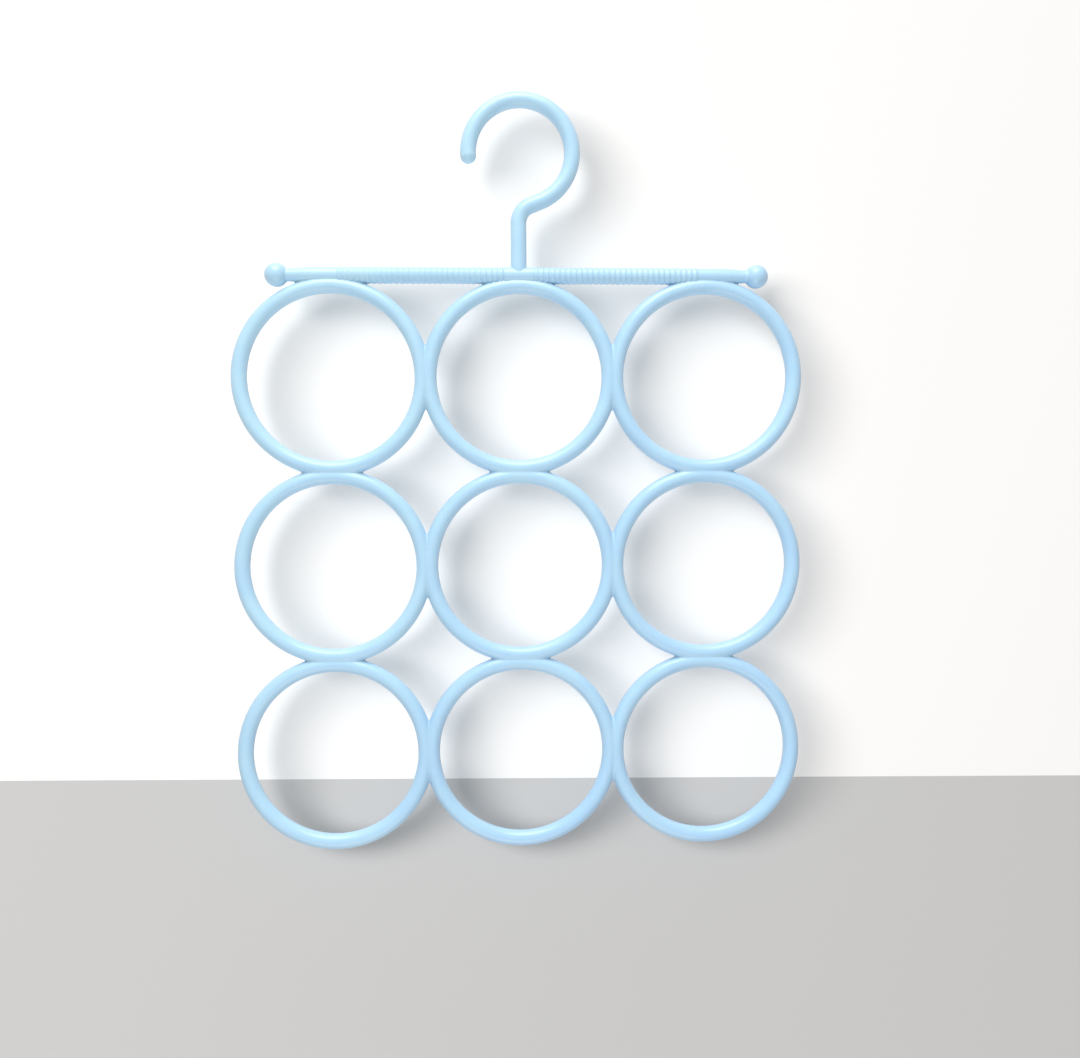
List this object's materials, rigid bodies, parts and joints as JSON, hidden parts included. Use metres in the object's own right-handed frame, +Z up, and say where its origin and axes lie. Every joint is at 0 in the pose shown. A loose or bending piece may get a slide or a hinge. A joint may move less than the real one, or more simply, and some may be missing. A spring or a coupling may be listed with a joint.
{
  "type": "scarf hanger",
  "caption": "Flat plastic scarf hanger: a square grid of round rings joined edge to edge, under a ribbed crossbar with ball ends and an open wardrobe hook.",
  "frame": {"origin": "the point on the inside crest of the hook that rests on the rail", "axes": "+Z up, from the rings towards the hook; +Y through the rings, along the rail, from the face seen in the picture to the back; +X to the viewer's right, away from the hook's open side"},
  "size_m": [0.2746, 0.0112, 0.3639],
  "materials": {
    "plastic": "smooth moulded, semi-gloss, pale sky blue"
  },
  "bodies": {
    "root": {"ring_top_left": "plastic", "ring_top_centre": "plastic", "ring_top_right": "plastic", "ring_middle_left": "plastic", "ring_middle_centre": "plastic", "ring_middle_right": "plastic", "ring_bottom_left": "plastic", "ring_bottom_centre": "plastic", "ring_bottom_right": "plastic", "bar_middle": "plastic", "grip_left": "plastic", "grip_right": "plastic", "bar_end_left": "plastic", "bar_end_right": "plastic", "ball_left": "plastic", "ball_right": "plastic", "hook_shank": "plastic", "hook_neck": "plastic", "hook_slope": "plastic", "hook_bow": "plastic", "hook_tip": "plastic"}
  },
  "joints": []
}
